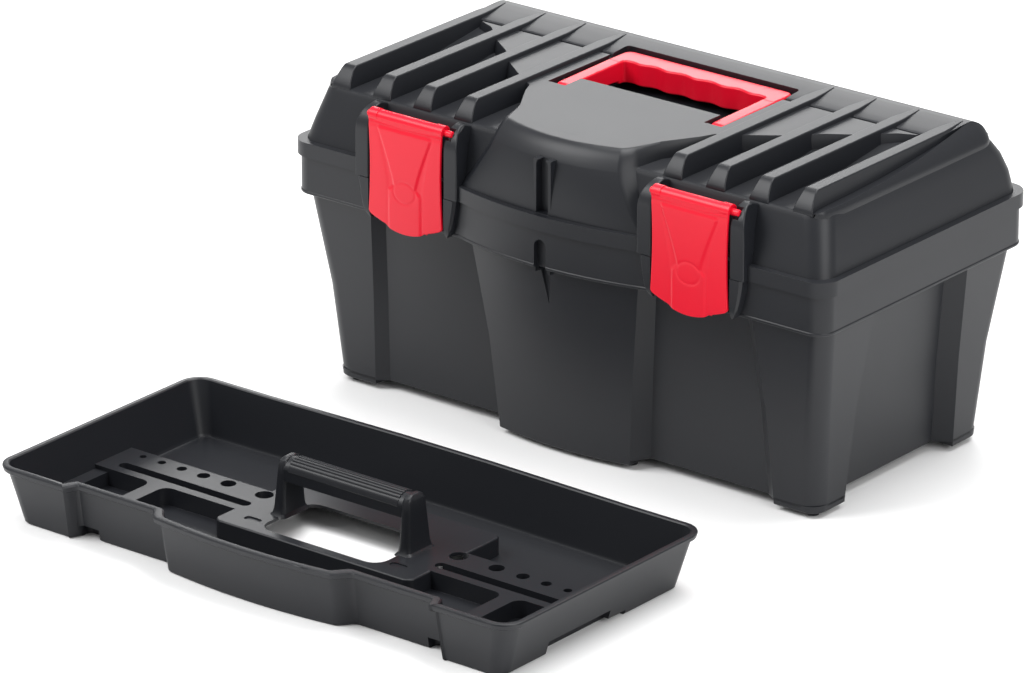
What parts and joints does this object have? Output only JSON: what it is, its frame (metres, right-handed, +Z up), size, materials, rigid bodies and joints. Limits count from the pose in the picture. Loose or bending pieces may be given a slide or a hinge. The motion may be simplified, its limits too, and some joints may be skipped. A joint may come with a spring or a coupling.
{
  "type": "toolbox with tray",
  "caption": "Moulded plastic toolbox with a ribbed hinged lid, front latches, a folding carry handle and a lift-out tool tray.",
  "frame": {"origin": "under the middle of the tub, in the plane that its feet stand on", "axes": "+X to the right along the box, +Y from the front with the latches to the back with the hinges, +Z up"},
  "size_m": [0.5, 0.6227, 0.255],
  "materials": {
    "black_plastic": "fine-grained satin polypropylene",
    "red_plastic": "glossy satin polypropylene",
    "steel_pin": "drawn wire"
  },
  "bodies": {
    "box": {"base_tub": "black_plastic", "hinge_pin_left": "steel_pin", "hinge_pin_right": "steel_pin"},
    "lid": {"lid_shell": "black_plastic", "latch_pin_left": "red_plastic", "latch_pin_right": "red_plastic", "handle_pin_left": "steel_pin", "handle_pin_right": "steel_pin"},
    "left_latch": {"latch_left": "red_plastic"},
    "right_latch": {"latch_right": "red_plastic"},
    "handle": {"carry_handle": "red_plastic"},
    "tool_tray": {"tray": "black_plastic"}
  },
  "joints": [
    {"name": "lid_open", "type": "hinge", "parent": "box", "child": "lid", "pos_m": [0, 0.136, 0.185], "axis": [-1, 0, 0], "range_deg": [0, 105]},
    {"name": "latch_left_swing", "type": "hinge", "parent": "lid", "child": "left_latch", "pos_m": [-0.1325, -0.13, 0.2355], "axis": [-1, 0, 0], "range_deg": [0, 120]},
    {"name": "latch_right_swing", "type": "hinge", "parent": "lid", "child": "right_latch", "pos_m": [0.1325, -0.13, 0.2355], "axis": [-1, 0, 0], "range_deg": [0, 120]},
    {"name": "handle_swing", "type": "hinge", "parent": "lid", "child": "handle", "pos_m": [0, -0.0189, 0.243], "axis": [1, 0, 0], "range_deg": [0, 90]},
    {"name": "tray_lift", "type": "slide", "parent": "box", "child": "tool_tray", "axis": [0, 0, 1], "range_m": [0, 0.25]}
  ]
}
